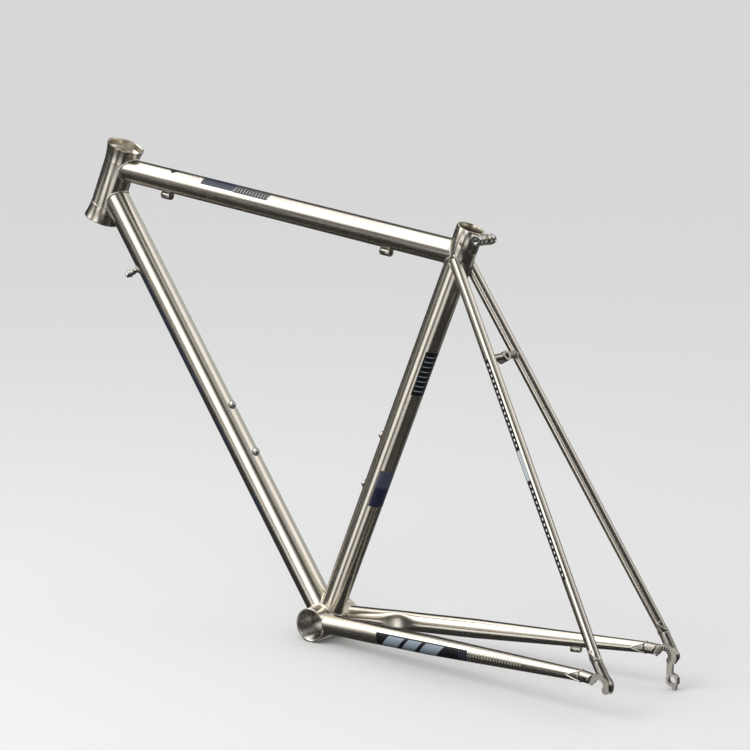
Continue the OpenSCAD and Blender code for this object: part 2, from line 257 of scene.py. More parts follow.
def walk(points, closed, count):
    """Evenly spaced places along a line of (point, outward) pairs: (point, outward, direction)."""
    ends = points + points[:1] if closed else points
    reach = [0.0]
    for (p, _), (q, _) in zip(ends, ends[1:]):
        reach.append(reach[-1] + (q - p).length)
    places, k = [], 0
    for i in range(count):
        s = reach[-1] * i / (count if closed else count - 1)
        while k < len(ends) - 2 and reach[k + 1] < s:
            k += 1
        share = (s - reach[k]) / max(reach[k + 1] - reach[k], 1e-9)
        (p, m), (q, n) = ends[k], ends[k + 1]
        places.append((p.lerp(q, share), m.lerp(n, share)))
    line = []
    for i, (p, out) in enumerate(places):
        before = places[i - 1][0] if closed or i else p
        after = places[(i + 1) % count][0] if closed or i < count - 1 else p
        line.append((p, out, (after - before).normalized()))
    return line


def line_length(points, closed):
    ends = points + points[:1] if closed else points
    return sum((q[0] - p[0]).length for p, q in zip(ends, ends[1:]))


def weld(name, points, radius, closed=True):
    """A bead along (point, outward) pairs, rippled like a pushed-over stack of coins."""
    draw = random.Random(name)
    ripples = max(3, round(line_length(points, closed) / RIPPLE_PITCH))
    rings = ripples * RINGS_PER_RIPPLE + (0 if closed else 1)
    size = [radius * draw.uniform(0.9, 1.08) for _ in range(ripples + 1)]
    vertices = []
    for i, (p, out, along) in enumerate(walk(points, closed, rings)):
        ripple, step = divmod(i, RINGS_PER_RIPPLE)
        u = step / RINGS_PER_RIPPLE
        swell = math.sin(math.pi * u) ** 0.6
        r = size[ripple % len(size)] * (1 - RIPPLE_DEPTH + RIPPLE_DEPTH * swell)
        if not closed:
            r *= min(1.0, 0.3 + min(i, rings - 1 - i) / RINGS_PER_RIPPLE)
        across = along.cross(out).normalized()
        rise = across.cross(along)
        for k in range(RING_CORNERS):
            turn = FULL_TURN * k / RING_CORNERS
            lag = along * (RIPPLE_LAG * RIPPLE_PITCH * max(0.0, math.cos(turn)))
            vertices.append(p + (rise * math.cos(turn) + across * math.sin(turn)) * r - lag)
    return new_piece(name, vertices, grid_faces(rings, RING_CORNERS, closed), BEAD)


def solids(*names):
    """One search tree over the surfaces of some CAD nodes."""
    vertices, faces = [], []
    for name in names:
        mesh = frame["nodes"][name].data
        first = len(vertices)
        vertices += [v.co.copy() for v in mesh.vertices]
        faces += [[first + k for k in f.vertices] for f in mesh.polygons]
    return BVHTree.FromPolygons(vertices, faces)


def seam(tube, start, towards, hosts, furthest, steps=120):
    """(point, outward) pairs where a tube's outside meets other solids, looked for from station start."""
    tree = solids(*hosts)
    found = []
    for i in range(steps):
        angle = FULL_TURN * i / steps
        hit = tree.ray_cast(tube.point(start, angle), tube.axis * towards, furthest)[0]
        found.append(None if hit is None else (hit, tube.out(angle)))
    if None not in found:
        return found, True
    gap = max(i for i in range(steps) if found[i] is None and found[(i + 1) % steps] is not None)
    turned = found[gap + 1 :] + found[: gap + 1]
    return [pair for pair in turned if pair is not None], False


def mouth_station(tube, angle, depth):
    """Where a stay ends at an angle: a wedge is cut into its end, seen from the side of the bike."""
    x = tube.out(angle).dot(UP.cross(tube.axis).normalized().cross(tube.axis)) * tube.end_radius
    return tube.length - depth * max(0.0, 1 - abs(x) / MOUTH_HALF)


def mouth_seam(tube, depth, steps=96):
    """(point, outward) pairs round the wedge in a stay's end."""
    points = []
    for i in range(steps):
        angle = FULL_TURN * i / steps
        points.append((tube.point(mouth_station(tube, angle, depth), angle), tube.out(angle)))
    return points


def foot_seam(tube, low, high, angle, half, steps=12):
    """A rectangle on the surface of a tube, round the foot of a cable stop."""
    swing = half / tube.radius_at(low)
    corners = [(low, -swing), (high, -swing), (high, swing), (low, swing)]
    points = []
    for (t0, a0), (t1, a1) in zip(corners, corners[1:] + corners[:1]):
        for i in range(steps):
            share = i / steps
            turn = angle + a0 + (a1 - a0) * share
            points.append((tube.point(t0 + (t1 - t0) * share, turn), tube.out(turn)))
    return points


def thread(name, tube, low, high, pitch, depth, steps=40):
    """The crest of an inside thread: a helix that stands in from the bore's wall."""
    turns = (high - low) / pitch
    rings = int(turns * steps) + 1
    vertices = []
    for i in range(rings):
        angle = FULL_TURN * i / steps
        t = low + pitch * i / steps
        fade = min(1.0, min(i, rings - 1 - i) / (steps * 0.4))
        for offset, rise in THREAD_SHAPE:
            reach = THREAD_SUNK * (1 - rise) - depth * rise * fade
            vertices.append(tube.point(t + offset * pitch, angle, reach))
    across = len(THREAD_SHAPE)
    faces = []
    for i in range(rings - 1):
        for k in range(across - 1):
            a = i * across + k
            faces.append((a, a + 1, a + across + 1, a + across))
    return new_piece(name, vertices, faces, CUT)


# ---- materials ----


class Graph:
    """Short names for adding shader nodes to a material or a world."""

    def __init__(self, owner):
        owner.use_nodes = True
        self.owner = owner
        self.tree = owner.node_tree

    def node(self, kind, settings=None, **inputs):
        """A new node, with its settings, and its inputs by name, where _ stands for a space."""
        made = self.tree.nodes.new(kind)
        for key, value in (settings or {}).items():
            setattr(made, key, value)
        for key, value in inputs.items():
            self.plug(made.inputs[key.replace("_", " ")], value)
        return made

    def plug(self, socket, value):
        """Links a node's output to a socket, or sets the socket to a plain value."""
        if isinstance(value, bpy.types.NodeSocket):
            self.tree.links.new(value, socket)
        else:
            socket.default_value = value

    def math(self, operation, a, b=0.0, c=0.0, clamp=False):
        made = self.tree.nodes.new("ShaderNodeMath")
        made.operation = operation
        made.use_clamp = clamp
        for socket, value in zip(made.inputs, (a, b, c)):
            self.plug(socket, value)
        return made.outputs[0]

    def total(self, *values):
        result = values[0]
        for value in values[1:]:
            result = self.math("ADD", result, value)
        return result

    def product(self, *values):
        result = values[0]
        for value in values[1:]:
            result = self.math("MULTIPLY", result, value)
        return result

    def place(self):
        """The shaded point in the object's own metres."""
        return self.node("ShaderNodeTexCoord").outputs["Object"]

    def along(self, place, start, direction):
        """How far a place is along a direction, in millimetres."""
        moved = self.node("ShaderNodeVectorMath", {"operation": "SUBTRACT"})
        self.plug(moved.inputs[0], place)
        self.plug(moved.inputs[1], start)
        dot = self.node("ShaderNodeVectorMath", {"operation": "DOT_PRODUCT"})
        self.plug(dot.inputs[0], moved.outputs[0])
        self.plug(dot.inputs[1], direction / MM)
        return dot.outputs["Value"]

    def vector(self, x, y, z):
        return self.node("ShaderNodeCombineXYZ", X=x, Y=y, Z=z).outputs[0]

    def noise(self, vector, scale, detail=3.0, roughness=0.6):
        made = self.node(
            "ShaderNodeTexNoise", Vector=vector, Scale=scale, Detail=detail, Roughness=roughness
        )
        return made.outputs["Fac"]

    def spread(self, value, from_low, from_high, low, high):
        """low to high while value runs from_low to from_high."""
        made = self.node(
            "ShaderNodeMapRange",
            {"clamp": True},
            Value=value,
            From_Min=from_low,
            From_Max=from_high,
            To_Min=low,
            To_Max=high,
        )
        return made.outputs[0]

    def mix(self, share, first, second):
        """The first colour where share is 0, and the second where it is 1."""
        made = self.node("ShaderNodeMix", {"data_type": "RGBA"})
        self.plug(made.inputs[0], share)
        self.plug(made.inputs[6], first)
        self.plug(made.inputs[7], second)
        return made.outputs[2]

    def bump(self, height, distance):
        return self.node("ShaderNodeBump", Height=height, Distance=distance, Strength=1.0).outputs[0]

    def finish(self, **inputs):
        """Sets the material's shader, and gives the material."""
        shader = self.tree.nodes["Principled BSDF"]
        for key, value in inputs.items():
            self.plug(shader.inputs[key.replace("_", " ")], value)
        return self.owner


def material_graph(name):
    return Graph(bpy.data.materials.new(name))


def colour(red, green, blue):
    return (red, green, blue, 1.0)


PALE_METAL = colour(0.79, 0.745, 0.655)
WARM_METAL = colour(0.64, 0.585, 0.495)
BEAD_METAL = colour(0.86, 0.82, 0.73)
# Black for print, and also for the painted shade in the dropouts' tooth gaps.
INK_AND_SHADE = colour(0.006, 0.006, 0.008)
SLATE = colour(0.022, 0.03, 0.042)
FAINT = colour(0.34, 0.31, 0.26)
NAVY = colour(0.012, 0.016, 0.045)
DUSK = colour(0.045, 0.048, 0.085)
SILVER_INK = colour(0.30, 0.36, 0.42)
WHITE_INK = colour(0.75, 0.77, 0.78)

# Brushing: how fast the grain changes along the tube, and lathe rings round it, as a share of across.
GRAIN_STRETCH = 0.018
RING_STRETCH = 0.02
RING_FINENESS = 1.1
# How rough a printed mark is, and how much of the metal it hides.
INK_ROUGHNESS = 0.38
INK_COVER = 0.85


class Mark:
    """
    Plain printed shape on a tube: stations low to high in mm, angles first to last in degrees.

    A slant leans it by that many mm a degree. A pitch in mm breaks it into ticks that fill a share of each
    pitch. A fade is a second ink, which the first one turns into from the first angle to the last.
    """

    def __init__(
        self, low, high, first, last, ink, slant=0.0, pitch=None, share=0.5, diamond=False, fade=None
    ):
        self.low, self.high = low, high
        self.first, self.last = first, last
        self.ink, self.fade = ink, fade
        self.slant, self.pitch, self.share = slant, pitch, share
        self.diamond = diamond


def inside(g, value, low, high, sharpness):
    """1 where low < value < high, with a soft edge."""
    middle, half = (low + high) / 2, (high - low) / 2
    away = g.math("ABSOLUTE", g.math("SUBTRACT", value, middle))
    return g.math("MULTIPLY", g.math("SUBTRACT", half, away), sharpness, clamp=True)


def mark_mask(g, mark, station, angle):
    """1 where a mark is printed."""
    if mark.slant:
        lean = g.math("MULTIPLY", g.math("SUBTRACT", angle, mark.first), mark.slant)
        station = g.math("ADD", station, lean)
    if mark.diamond:
        middle, half = (mark.low + mark.high) / 2, (mark.high - mark.low) / 2
        t = g.math("DIVIDE", g.math("ABSOLUTE", g.math("SUBTRACT", station, middle)), half)
        a = g.math("DIVIDE", angle, mark.last)
        return g.math("MULTIPLY", g.math("SUBTRACT", 1.0, g.math("ADD", t, a)), 20.0, clamp=True)
    mask = g.product(
        inside(g, station, mark.low, mark.high, 4.0),
        inside(g, angle, mark.first, mark.last, 0.6),
    )
    if mark.pitch:
        step = g.math("FRACT", g.math("DIVIDE", g.math("SUBTRACT", station, mark.low), mark.pitch))
        mask = g.product(mask, inside(g, step, 0.5 - mark.share / 2, 0.5 + mark.share / 2, 12.0))
    return mask


def brushed_tube(name, tube, marks=(), turned=(), both_sides=True):
    """
    Brushed metal with its grain along the tube, and printed marks.

    Between each pair of stations in turned, in mm, it has lathe rings round the tube instead.
    """
    g = material_graph(name)
    place = g.place()
    station = g.along(place, tube.a, tube.axis)
    x = g.along(place, tube.a, tube.up)
    y = g.along(place, tube.a, tube.side)
    angle = g.math("MULTIPLY", g.math("ARCTAN2", y, x), 180 / math.pi)
    if both_sides:
        angle = g.math("ABSOLUTE", angle)

    grain_place = g.vector(x, y, g.math("MULTIPLY", station, GRAIN_STRETCH))
    ring_place = g.vector(
        g.product(x, RING_STRETCH), g.product(y, RING_STRETCH), g.product(station, RING_FINENESS)
    )
    lathe = 0.0
    for low, high in turned:
        lathe = g.math("MAXIMUM", lathe, inside(g, station, low, high, 3.0))
    if turned:
        grain_mix = g.node("ShaderNodeMix", {"data_type": "VECTOR"})
        g.plug(grain_mix.inputs[0], lathe)
        g.plug(grain_mix.inputs[4], grain_place)
        g.plug(grain_mix.inputs[5], ring_place)
        grain_place = grain_mix.outputs[1]
    fine = g.noise(grain_place, 5.5, 4.0, 0.7)
    coarse = g.noise(grain_place, 1.3, 3.0, 0.6)
    blotch = g.noise(place, 28.0, 3.0, 0.5)

    shade = g.total(g.product(fine, 0.45), g.product(coarse, 0.35), g.product(blotch, 0.2))
    base = g.mix(g.spread(shade, 0.36, 0.64, 0.0, 1.0), WARM_METAL, PALE_METAL)
    rough = g.spread(g.total(g.product(fine, 0.5), g.product(coarse, 0.5)), 0.3, 0.7, 0.17, 0.3)
    metal = 1.0
    for mark in marks:
        mask = mark_mask(g, mark, station, angle)
        ink = mark.ink
        if mark.fade:
            share = g.spread(angle, mark.first, mark.last, 0.0, 1.0)
            ink = g.mix(share, mark.ink, mark.fade)
        base = g.mix(mask, base, ink)
        rough = g.math("ADD", g.product(rough, g.math("SUBTRACT", 1.0, mask)), g.product(mask, INK_ROUGHNESS))
        metal = g.product(metal, g.math("SUBTRACT", 1.0, g.product(mask, INK_COVER)))
    scratch = g.bump(g.total(g.product(fine, 0.7), g.product(coarse, 0.3)), 0.012 * MM)
    tangent = g.vector(*tube.axis)
    return g.finish(
        Base_Color=base,
        Roughness=rough,
        Metallic=metal,
        Normal=scratch,
        Tangent=tangent,
        Anisotropic=0.55,
        Specular_IOR_Level=0.5,
    )


# Teeth round the axle, whose gaps are painted black as shade: pitch in degrees, and sizes in mm.
TOOTH_PITCH = 18
TOOTH_RING = (4.6, 10.2)
TOOTH_DEPTH = 0.85
GAP_HALF = 0.75
INNER_FACE = mount_place("axle_slot_left").y / MM - MOUNTS["axle_slot_left"]["dims"]["length_mm"] / 2


def tooth_gap_shade(g, place):
    """1 in the gaps between the radial teeth that bite the hub, on the inner face of a dropout: a mask for
    painted shade.
    """
    x = g.along(place, wheel_axle, FORWARD)
    y = g.math("ABSOLUTE", g.along(place, wheel_axle, LEFT))
    z = g.along(place, wheel_axle, UP)
    radius = g.math("SQRT", g.total(g.product(x, x), g.product(z, z)))
    angle = g.math("MULTIPLY", g.math("ARCTAN2", z, x), 180 / math.pi)
    step = g.math("FRACT", g.math("DIVIDE", angle, TOOTH_PITCH))
    off_middle = g.math("ABSOLUTE", g.math("SUBTRACT", step, 0.5))
    across = g.product(off_middle, radius, math.radians(TOOTH_PITCH))
    return g.product(
        inside(g, across, -GAP_HALF, GAP_HALF, 5.0),
        inside(g, radius, *TOOTH_RING, 3.0),
        inside(g, y, INNER_FACE - 1, INNER_FACE + TOOTH_DEPTH, 5.0),
    )


def satin(name, base, rough, grain=900.0, depth=0.01, spread=0.06, painted_shade=None):
    """
    Machined or blasted metal: fine even tooling marks and a slow change of colour.

    Where the given mask is 1 it is painted black, as painted shade in grooves.
    """
    g = material_graph(name)
    place = g.place()
    fine = g.noise(place, grain, 4.0, 0.7)
    slow = g.noise(place, 90.0, 3.0, 0.5)
    darker = tuple(c * 0.8 for c in base[:3]) + (1.0,)
    shade = g.total(g.product(fine, 0.5), g.product(slow, 0.5))
    tint = g.mix(g.spread(shade, 0.35, 0.65, 0.0, 1.0), darker, base)
    if painted_shade:
        # Painted shade: the masked grooves are coloured black.
        tint = g.mix(painted_shade(g, place), tint, INK_AND_SHADE)
    return g.finish(
        Base_Color=tint,
        Metallic=1.0,
        Roughness=g.spread(slow, 0.35, 0.65, rough - spread, rough + spread),
        Normal=g.bump(fine, depth * MM),
    )


BEAD = satin("weld_bead", BEAD_METAL, 0.2, grain=1500.0, depth=0.02)
CUT = satin("cut_thread", colour(0.70, 0.67, 0.62), 0.26, grain=1200.0, depth=0.01)
# Dropouts, with painted shade in the gaps between their axle teeth.
DROPOUT = satin(
    "brushed_dropout",
    colour(0.47, 0.44, 0.39),
    0.27,
    grain=420.0,
    depth=0.03,
    spread=0.07,
    painted_shade=tooth_gap_shade,
)
FITTING = satin("satin_fitting", colour(0.60, 0.565, 0.50), 0.27, grain=700.0, depth=0.02)
POLISHED = satin("polished_screw", colour(0.82, 0.82, 0.80), 0.12, grain=500.0, depth=0.004, spread=0.04)


# ---- graphics: plain blocks, bars and ticks, with no lettering ----

DASH_PITCH = 6.2
TOP_MARKS = (
    Mark(408, 432, 0, 42, INK_AND_SHADE, diamond=True),
    Mark(376, 396, 4, 50, FAINT, pitch=5, share=0.25),
    Mark(321, 372, 0, 58, NAVY, fade=SLATE),
    Mark(268, 321, 20, 60, INK_AND_SHADE),
    Mark(268, 321, 26, 54, WHITE_INK, pitch=4.4, share=0.22),
    Mark(97, 262, 20, 52, FAINT, pitch=3.1, share=0.3),
)
DOWN_MARKS = tuple(
    Mark(low - grow, high + grow, 95 - 2 * grow, 150 + 2 * grow, ink, slant=slant)
    for low, high, slant in (
        (149, 174, 0.0),
        (230, 272, 0.1),
        (307, 339, 0.0),
        (342, 374, 0.0),
        (392, 425, -0.1),
        (440, 470, 0.0),
    )
    for grow, ink in ((1.2, INK_AND_SHADE), (0.0, SLATE))
)
SEAT_MARKS = (
    Mark(307, 362, 122, 181, INK_AND_SHADE),
    Mark(310, 359, 129, 176, SILVER_INK, pitch=6.1, share=0.2),
    Mark(162, 209, 114, 181, NAVY),
    Mark(187, 209, 114, 181, DUSK),
    Mark(215, 300, 116, 128, FAINT, pitch=3.0, share=0.35),
)
SEATSTAY_MARKS = tuple(
    mark
    for low, high in ((118, 223), (257, 368))
    for mark in (
        Mark(low, high, 58, 104, INK_AND_SHADE),
        Mark(low + 3, high - 3, 74, 90, WHITE_INK, pitch=DASH_PITCH, share=0.55),
    )
) + (Mark(223, 257, 58, 108, SILVER_INK, fade=WHITE_INK),)
CHAINSTAY_MARKS = (
    Mark(106, 240, 58, 180, INK_AND_SHADE),
    Mark(126, 150, 66, 158, SILVER_INK, slant=0.2, fade=SLATE),
    Mark(156, 176, 66, 158, SILVER_INK, slant=0.2, fade=SLATE),
    Mark(182, 208, 66, 158, SILVER_INK, slant=0.2, fade=SLATE),
    Mark(227, 243, 66, 150, DUSK, pitch=3.6, share=0.4),
    Mark(243, 315, 40, 100, FAINT, pitch=4.0, share=0.3),
)

# ---- paint the CAD nodes ----

# Stations in mm between which a part is turned in a lathe. They run well past its ends.
HEAD_RIM = 21
HEAD_TURNED = ((-1, HEAD_RIM), (HEAD.length / MM - HEAD_RIM, 120))
COLLAR_TURNED = ((0, 600),)
SHELL_TURNED = ((-1, 80),)
TUBE_MATERIAL = {
    "head_tube": brushed_tube("brushed_head_tube", HEAD, turned=HEAD_TURNED),
    "top_tube": brushed_tube("brushed_top_tube", TOP, TOP_MARKS),
    "down_tube": brushed_tube("brushed_down_tube", DOWN, DOWN_MARKS),
    "seat_tube": brushed_tube("brushed_seat_tube", SEAT, SEAT_MARKS),
    "seat_collar": brushed_tube("turned_collar", SEAT, turned=COLLAR_TURNED),
    "bottom_bracket_shell": brushed_tube("turned_shell", SHELL, turned=SHELL_TURNED),
}
for side in SIDES:
    TUBE_MATERIAL[f"chainstay_{side}"] = brushed_tube(
        f"brushed_chainstay_{side}", CHAINSTAY[side], CHAINSTAY_MARKS, both_sides=False
    )
    TUBE_MATERIAL[f"seatstay_{side}"] = brushed_tube(
        f"brushed_seatstay_{side}", SEATSTAY[side], SEATSTAY_MARKS, both_sides=False
    )
FINE_EDGE = 0.12 * MM
FITTING_EDGE = 0.25 * MM
DROPOUT_EDGE = 0.3 * MM
SAME_CORNER = 0.001 * MM
BEVEL_ANGLE = math.radians(40)
OPEN_ENDED = ("head_tube", "seat_collar", "bottom_bracket_shell")
FITTING_NODES = (
    "brake_bridge",
    "top_tube_stop_front",
    "top_tube_stop_rear",
    "chainstay_stop",
    "shifter_boss_left",
    "shifter_boss_right",
    "bottle_bosses",
)


def finish_node(name, material, edge=None):
    """Gives a CAD node its material, and rounds its hard edges where an edge size is given."""
    node = frame["nodes"][name]
    node.data.materials.clear()
    node.data.materials.append(material)
    if edge is None:
        return
    weld_corners = node.modifiers.new("join", "WELD")
    weld_corners.merge_threshold = SAME_CORNER
    bevel = node.modifiers.new("edge", "BEVEL")
    bevel.width = edge
    bevel.segments = 2
    bevel.limit_method = "ANGLE"
    bevel.angle_limit = BEVEL_ANGLE
    bevel.harden_normals = True


for name in frame["nodes"]:
    if name in OPEN_ENDED:
        finish_node(name, TUBE_MATERIAL[name], FINE_EDGE)
    elif name in TUBE_MATERIAL:
        finish_node(name, TUBE_MATERIAL[name])
    elif name.startswith("dropout"):
        finish_node(name, DROPOUT, DROPOUT_EDGE)
    elif name in FITTING_NODES:
        finish_node(name, FITTING, FITTING_EDGE)
    else:
        finish_node(name, POLISHED, FINE_EDGE)

# ---- chainstays, pinched smoothly where the tyre passes ----

DENT_AT = 0.205
DENT_DEPTH = 4.6 * MM
DENT_LENGTH = 24 * MM
DENT_ROUNDING = 1.1 * MM
DENT_CLEAR = 3 * MM
DENT_SWELL = 0.03
STAY_WALL = 0.8 * MM
# A mitre stops this far inside the shell's surface.
MITRE_SUNK = 0.3 * MM
# The dropout's shank lies this far below a stay's surface, and runs this far past the wedge.
FILL_BELOW = 0.12 * MM
FILL_PAST = 0.6 * MM


def dented(tube, t, angle, inset=0.0):
    """A point of a chainstay, whose inner side is pushed flat beside the tyre."""
    middle = DENT_AT * tube.length / CHAINSTAY_SHARE
    share = math.exp(-(((t - middle) / DENT_LENGTH) ** 2))
    r = tube.radius_at(t)
    inward = -math.sin(angle) * r
    limit = r + DENT_CLEAR - share * (DENT_CLEAR + DENT_DEPTH)
    k = DENT_ROUNDING
    kept = -k * math.log(math.exp(-inward / k) + math.exp(-limit / k))
    swell = tube.up * math.cos(angle) * r * DENT_SWELL * share
    return tube.point(t, angle, -inset) - tube.side * (kept - inward) + swell


def mitre_station(tube, angle):
    """Where a chainstay's side meets the round outside of the shell."""
    start, step = tube.point(0, angle), tube.axis
    a = step.x**2 + step.z**2
    b = start.x * step.x + start.z * step.z
    c = start.x**2 + start.z**2 - (SHELL.radius - MITRE_SUNK) ** 2
    return (-b + math.sqrt(max(b * b - a * c, 0.0))) / a


def chainstay_skin(side, rings=140, corners=96):
    """The outside of a chainstay, which stands in for the CAD node. Its end rings turn in by the wall."""
    tube = CHAINSTAY[side]
    vertices = []
    for i in range(-1, rings + 1):
        inset = STAY_WALL if i in (-1, rings) else 0.0
        share = min(max(i, 0), rings - 1) / (rings - 1)
        for k in range(corners):
            angle = FULL_TURN * k / corners
            first = mitre_station(tube, angle)
            last = mouth_station(tube, angle, MOUTH_DEPTH["chainstay"])
            t = first + (last - first) * share
            vertices.append(dented(tube, t, angle, inset))
    faces = grid_faces(rings + 2, corners, closed=False)[:-2]
    skin = new_piece(
        f"chainstay_skin_{side}", vertices, faces, TUBE_MATERIAL[f"chainstay_{side}"]
    )
    skin.data.set_sharp_from_angle(angle=math.radians(50))
    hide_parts(f"chainstay_{side}")


def mouth_fill(name, tube, depth):
    """The dropout's shank where it shows, flush, in the wedge of a stay's end."""
    rings, corners = 8, 64
    vertices = []
    for i in range(rings):
        t = tube.length - (depth + FILL_PAST) * (1 - i / (rings - 1))
        vertices += [tube.point(t, FULL_TURN * k / corners, -FILL_BELOW) for k in range(corners)]
    new_piece(name, vertices, grid_faces(rings, corners, closed=False), DROPOUT)


for side in SIDES:
    chainstay_skin(side)
    mouth_fill(f"mouth_fill_chainstay_{side}", CHAINSTAY[side], MOUTH_DEPTH["chainstay"])
    mouth_fill(f"mouth_fill_seatstay_{side}", SEATSTAY[side], MOUTH_DEPTH["seatstay"])

# ---- weld beads ----

MAIN_BEAD = 1.6 * MM
STAY_BEAD = 1.2 * MM
SMALL_BEAD = 0.9 * MM
# How far from a tube's end the search for its bead starts.
TOP_RAYS_FROM = 60 * MM
DOWN_RAYS_FROM = 80 * MM
STAY_RAYS_FROM = 40 * MM
# The chainstays' search ends here, before it runs through the shell's open end.
SHELL_REACH = 36 * MM
COLLAR_RIM = 39 * MM
COLLAR_SLOPE = 1.402
COLLAR_R = 15.6 * MM
COLLAR_BEAD_OUT = 0.3 * MM


def ring_weld(name, tube, start, towards, hosts, radius, furthest=1.0):
    """A bead where a tube meets other solids, looked for from start forwards (1) or back (-1) along it."""
    points, closed = seam(tube, start, towards, hosts, furthest)
    weld(name, points, radius, closed)


ring_weld("bead_top_tube_head", TOP, TOP.length - TOP_RAYS_FROM, 1, ["head_tube"], MAIN_BEAD)
ring_weld("bead_top_tube_seat", TOP, TOP_RAYS_FROM, -1, ["seat_collar", "seat_tube"], MAIN_BEAD)
ring_weld("bead_down_tube_head", DOWN, DOWN.length - DOWN_RAYS_FROM, 1, ["head_tube"], MAIN_BEAD)
ring_weld(
    "bead_down_tube_shell", DOWN, DOWN_RAYS_FROM, -1, ["bottom_bracket_shell", "seat_tube"], MAIN_BEAD
)


def collar_rim_points(steps=96):
    """The slanted lower rim of the seat collar, low at the back."""
    points = []
    for i in range(steps):
        angle = FULL_TURN * i / steps
        t = SEAT.length - COLLAR_RIM + COLLAR_SLOPE * math.cos(angle) * COLLAR_R
        points.append((SEAT.point(t, angle, COLLAR_BEAD_OUT), SEAT.out(angle)))
    return points


weld("bead_collar_rim", collar_rim_points(), SMALL_BEAD)
ring_weld("bead_seat_tube_shell", SEAT, STAY_RAYS_FROM, -1, ["bottom_bracket_shell"], MAIN_BEAD)
for side in SIDES:
    ring_weld(
        f"bead_chainstay_shell_{side}",
        CHAINSTAY[side],
        STAY_RAYS_FROM,
        -1,
        ["bottom_bracket_shell", "seat_tube"],
        STAY_BEAD,
        furthest=SHELL_REACH,
    )
    ring_weld(
        f"bead_seatstay_top_{side}",
        SEATSTAY[side],
        STAY_RAYS_FROM,
        -1,
        ["seat_collar", "seat_tube"],
        STAY_BEAD,
    )
    weld(f"bead_chainstay_end_{side}", mouth_seam(CHAINSTAY[side], MOUTH_DEPTH["chainstay"]), SMALL_BEAD)
    weld(f"bead_seatstay_end_{side}", mouth_seam(SEATSTAY[side], MOUTH_DEPTH["seatstay"]), SMALL_BEAD)

# ---- small beads: bridge, cable stops and shifter bosses ----

BRIDGE_ARM_R = 4.2 * MM
bridge_low, bridge_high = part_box("brake_bridge")
bridge_middle = (bridge_low + bridge_high) / 2
for side in SIDES:
    stay = SEATSTAY[side]
    bridge_level = (bridge_middle.z - stay.a.z) / (stay.b.z - stay.a.z)
    arm_end = stay.a.lerp(stay.b, bridge_level)
    arm = Tube(Vector((arm_end.x, 0, arm_end.z)), arm_end, BRIDGE_ARM_R)
    ring_weld(f"bead_bridge_{side}", arm, 0.5 * arm.length, 1, [f"seatstay_{side}"], SMALL_BEAD)

STOP_FOOT_HALF = 2.1 * MM
STOP_FOOT_REACH = 4.5 * MM
STOP_BEAD = 0.72 * MM
for node in ("top_tube_stop_front", "top_tube_stop_rear"):
    low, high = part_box(node)
    middle = (low + high) / 2
    station = (middle - TOP.a).dot(TOP.axis)
    first, last = station - STOP_FOOT_REACH, station + STOP_FOOT_REACH
    weld(f"bead_{node}", foot_seam(TOP, first, last, math.pi, STOP_FOOT_HALF), STOP_BEAD)

BOSS_R = 4.2 * MM
BOSS_RAYS_FROM = 30 * MM
# In millimetres.
BOSS_REACH = 40
for side in SIDES:
    out = mount_axis(f"shifter_{side}")
    foot = DOWN.a + DOWN.axis * (mount_place(f"shifter_{side}") - DOWN.a).dot(DOWN.axis)
    boss = Tube(foot, foot + out * BOSS_REACH * MM, BOSS_R, up=DOWN.axis)
    ring_weld(f"bead_shifter_boss_{side}", boss, BOSS_RAYS_FROM, -1, ["down_tube"], SMALL_BEAD)

# ---- threads ----

SHELL_BORE = Tube(SHELL.a, SHELL.b, MOUNTS["bottom_bracket"]["dims"]["r_mm"] * MM)
SHELL_THREAD = 24 * MM
SHELL_PITCH = 1.058 * MM
SHELL_EDGE = 1.0 * MM
SHELL_THREAD_DEPTH = 0.5 * MM
HANGER_HALF = 3 * MM
HANGER_EDGE = 0.5 * MM
HANGER_PITCH = 1.0 * MM
HANGER_THREAD_DEPTH = 0.45 * MM
thread("thread_shell_right", SHELL_BORE, SHELL_EDGE, SHELL_THREAD, SHELL_PITCH, SHELL_THREAD_DEPTH)
thread(
    "thread_shell_left",
    SHELL_BORE,
    SHELL.length - SHELL_THREAD,
    SHELL.length - SHELL_EDGE,
    SHELL_PITCH,
    SHELL_THREAD_DEPTH,
)
hanger_half = mount_axis("derailleur_hanger") * HANGER_HALF
HANGER_BORE = Tube(
    mount_place("derailleur_hanger") - hanger_half,
    mount_place("derailleur_hanger") + hanger_half,
    MOUNTS["derailleur_hanger"]["dims"]["r_mm"] * MM,
)
thread(
    "thread_hanger",
    HANGER_BORE,
    HANGER_EDGE,
    HANGER_BORE.length - HANGER_EDGE,
    HANGER_PITCH,
    HANGER_THREAD_DEPTH,
)

# ---- stage, light and camera ----

# The lamp, in metres and watts.
KEY_SIZE = 1.6
KEY_POWER = 22
KEY_DISTANCE = 2.6
# Degrees to the left of the camera, and degrees up.
KEY_DIRECTION = (55, 50)
EVEN_LIGHT = 0.85
FLOOR_TONE = 0.8
DIM_ROOM = 0.04
# Turn to the left of the camera, height, half width, soft edge, all in degrees, and brightness.
SOFT_BOXES = (
    (78, 40, 18, 14, 1.9),
    (115, 62, 20, 16, 1.7),
    (32, 17, 9, 15, 1.9),
    (17, 32, 5, 10, 1.2),
    (56, -15, 5, 12, 1.5),
    (90, 8, 4, 12, 0.45),
    (17, -33, 5, 12, 1.1),
    (-100, 32, 5, 12, 0.6),
)
# The same soft boxes stand on the other side of the frame, dimmer.
FAR_SIDE = 0.34


def flat_colour(name, value, rough):
    g = material_graph(name)
    return g.finish(Base_Color=value, Roughness=rough, Specular_IOR_Level=0.3)


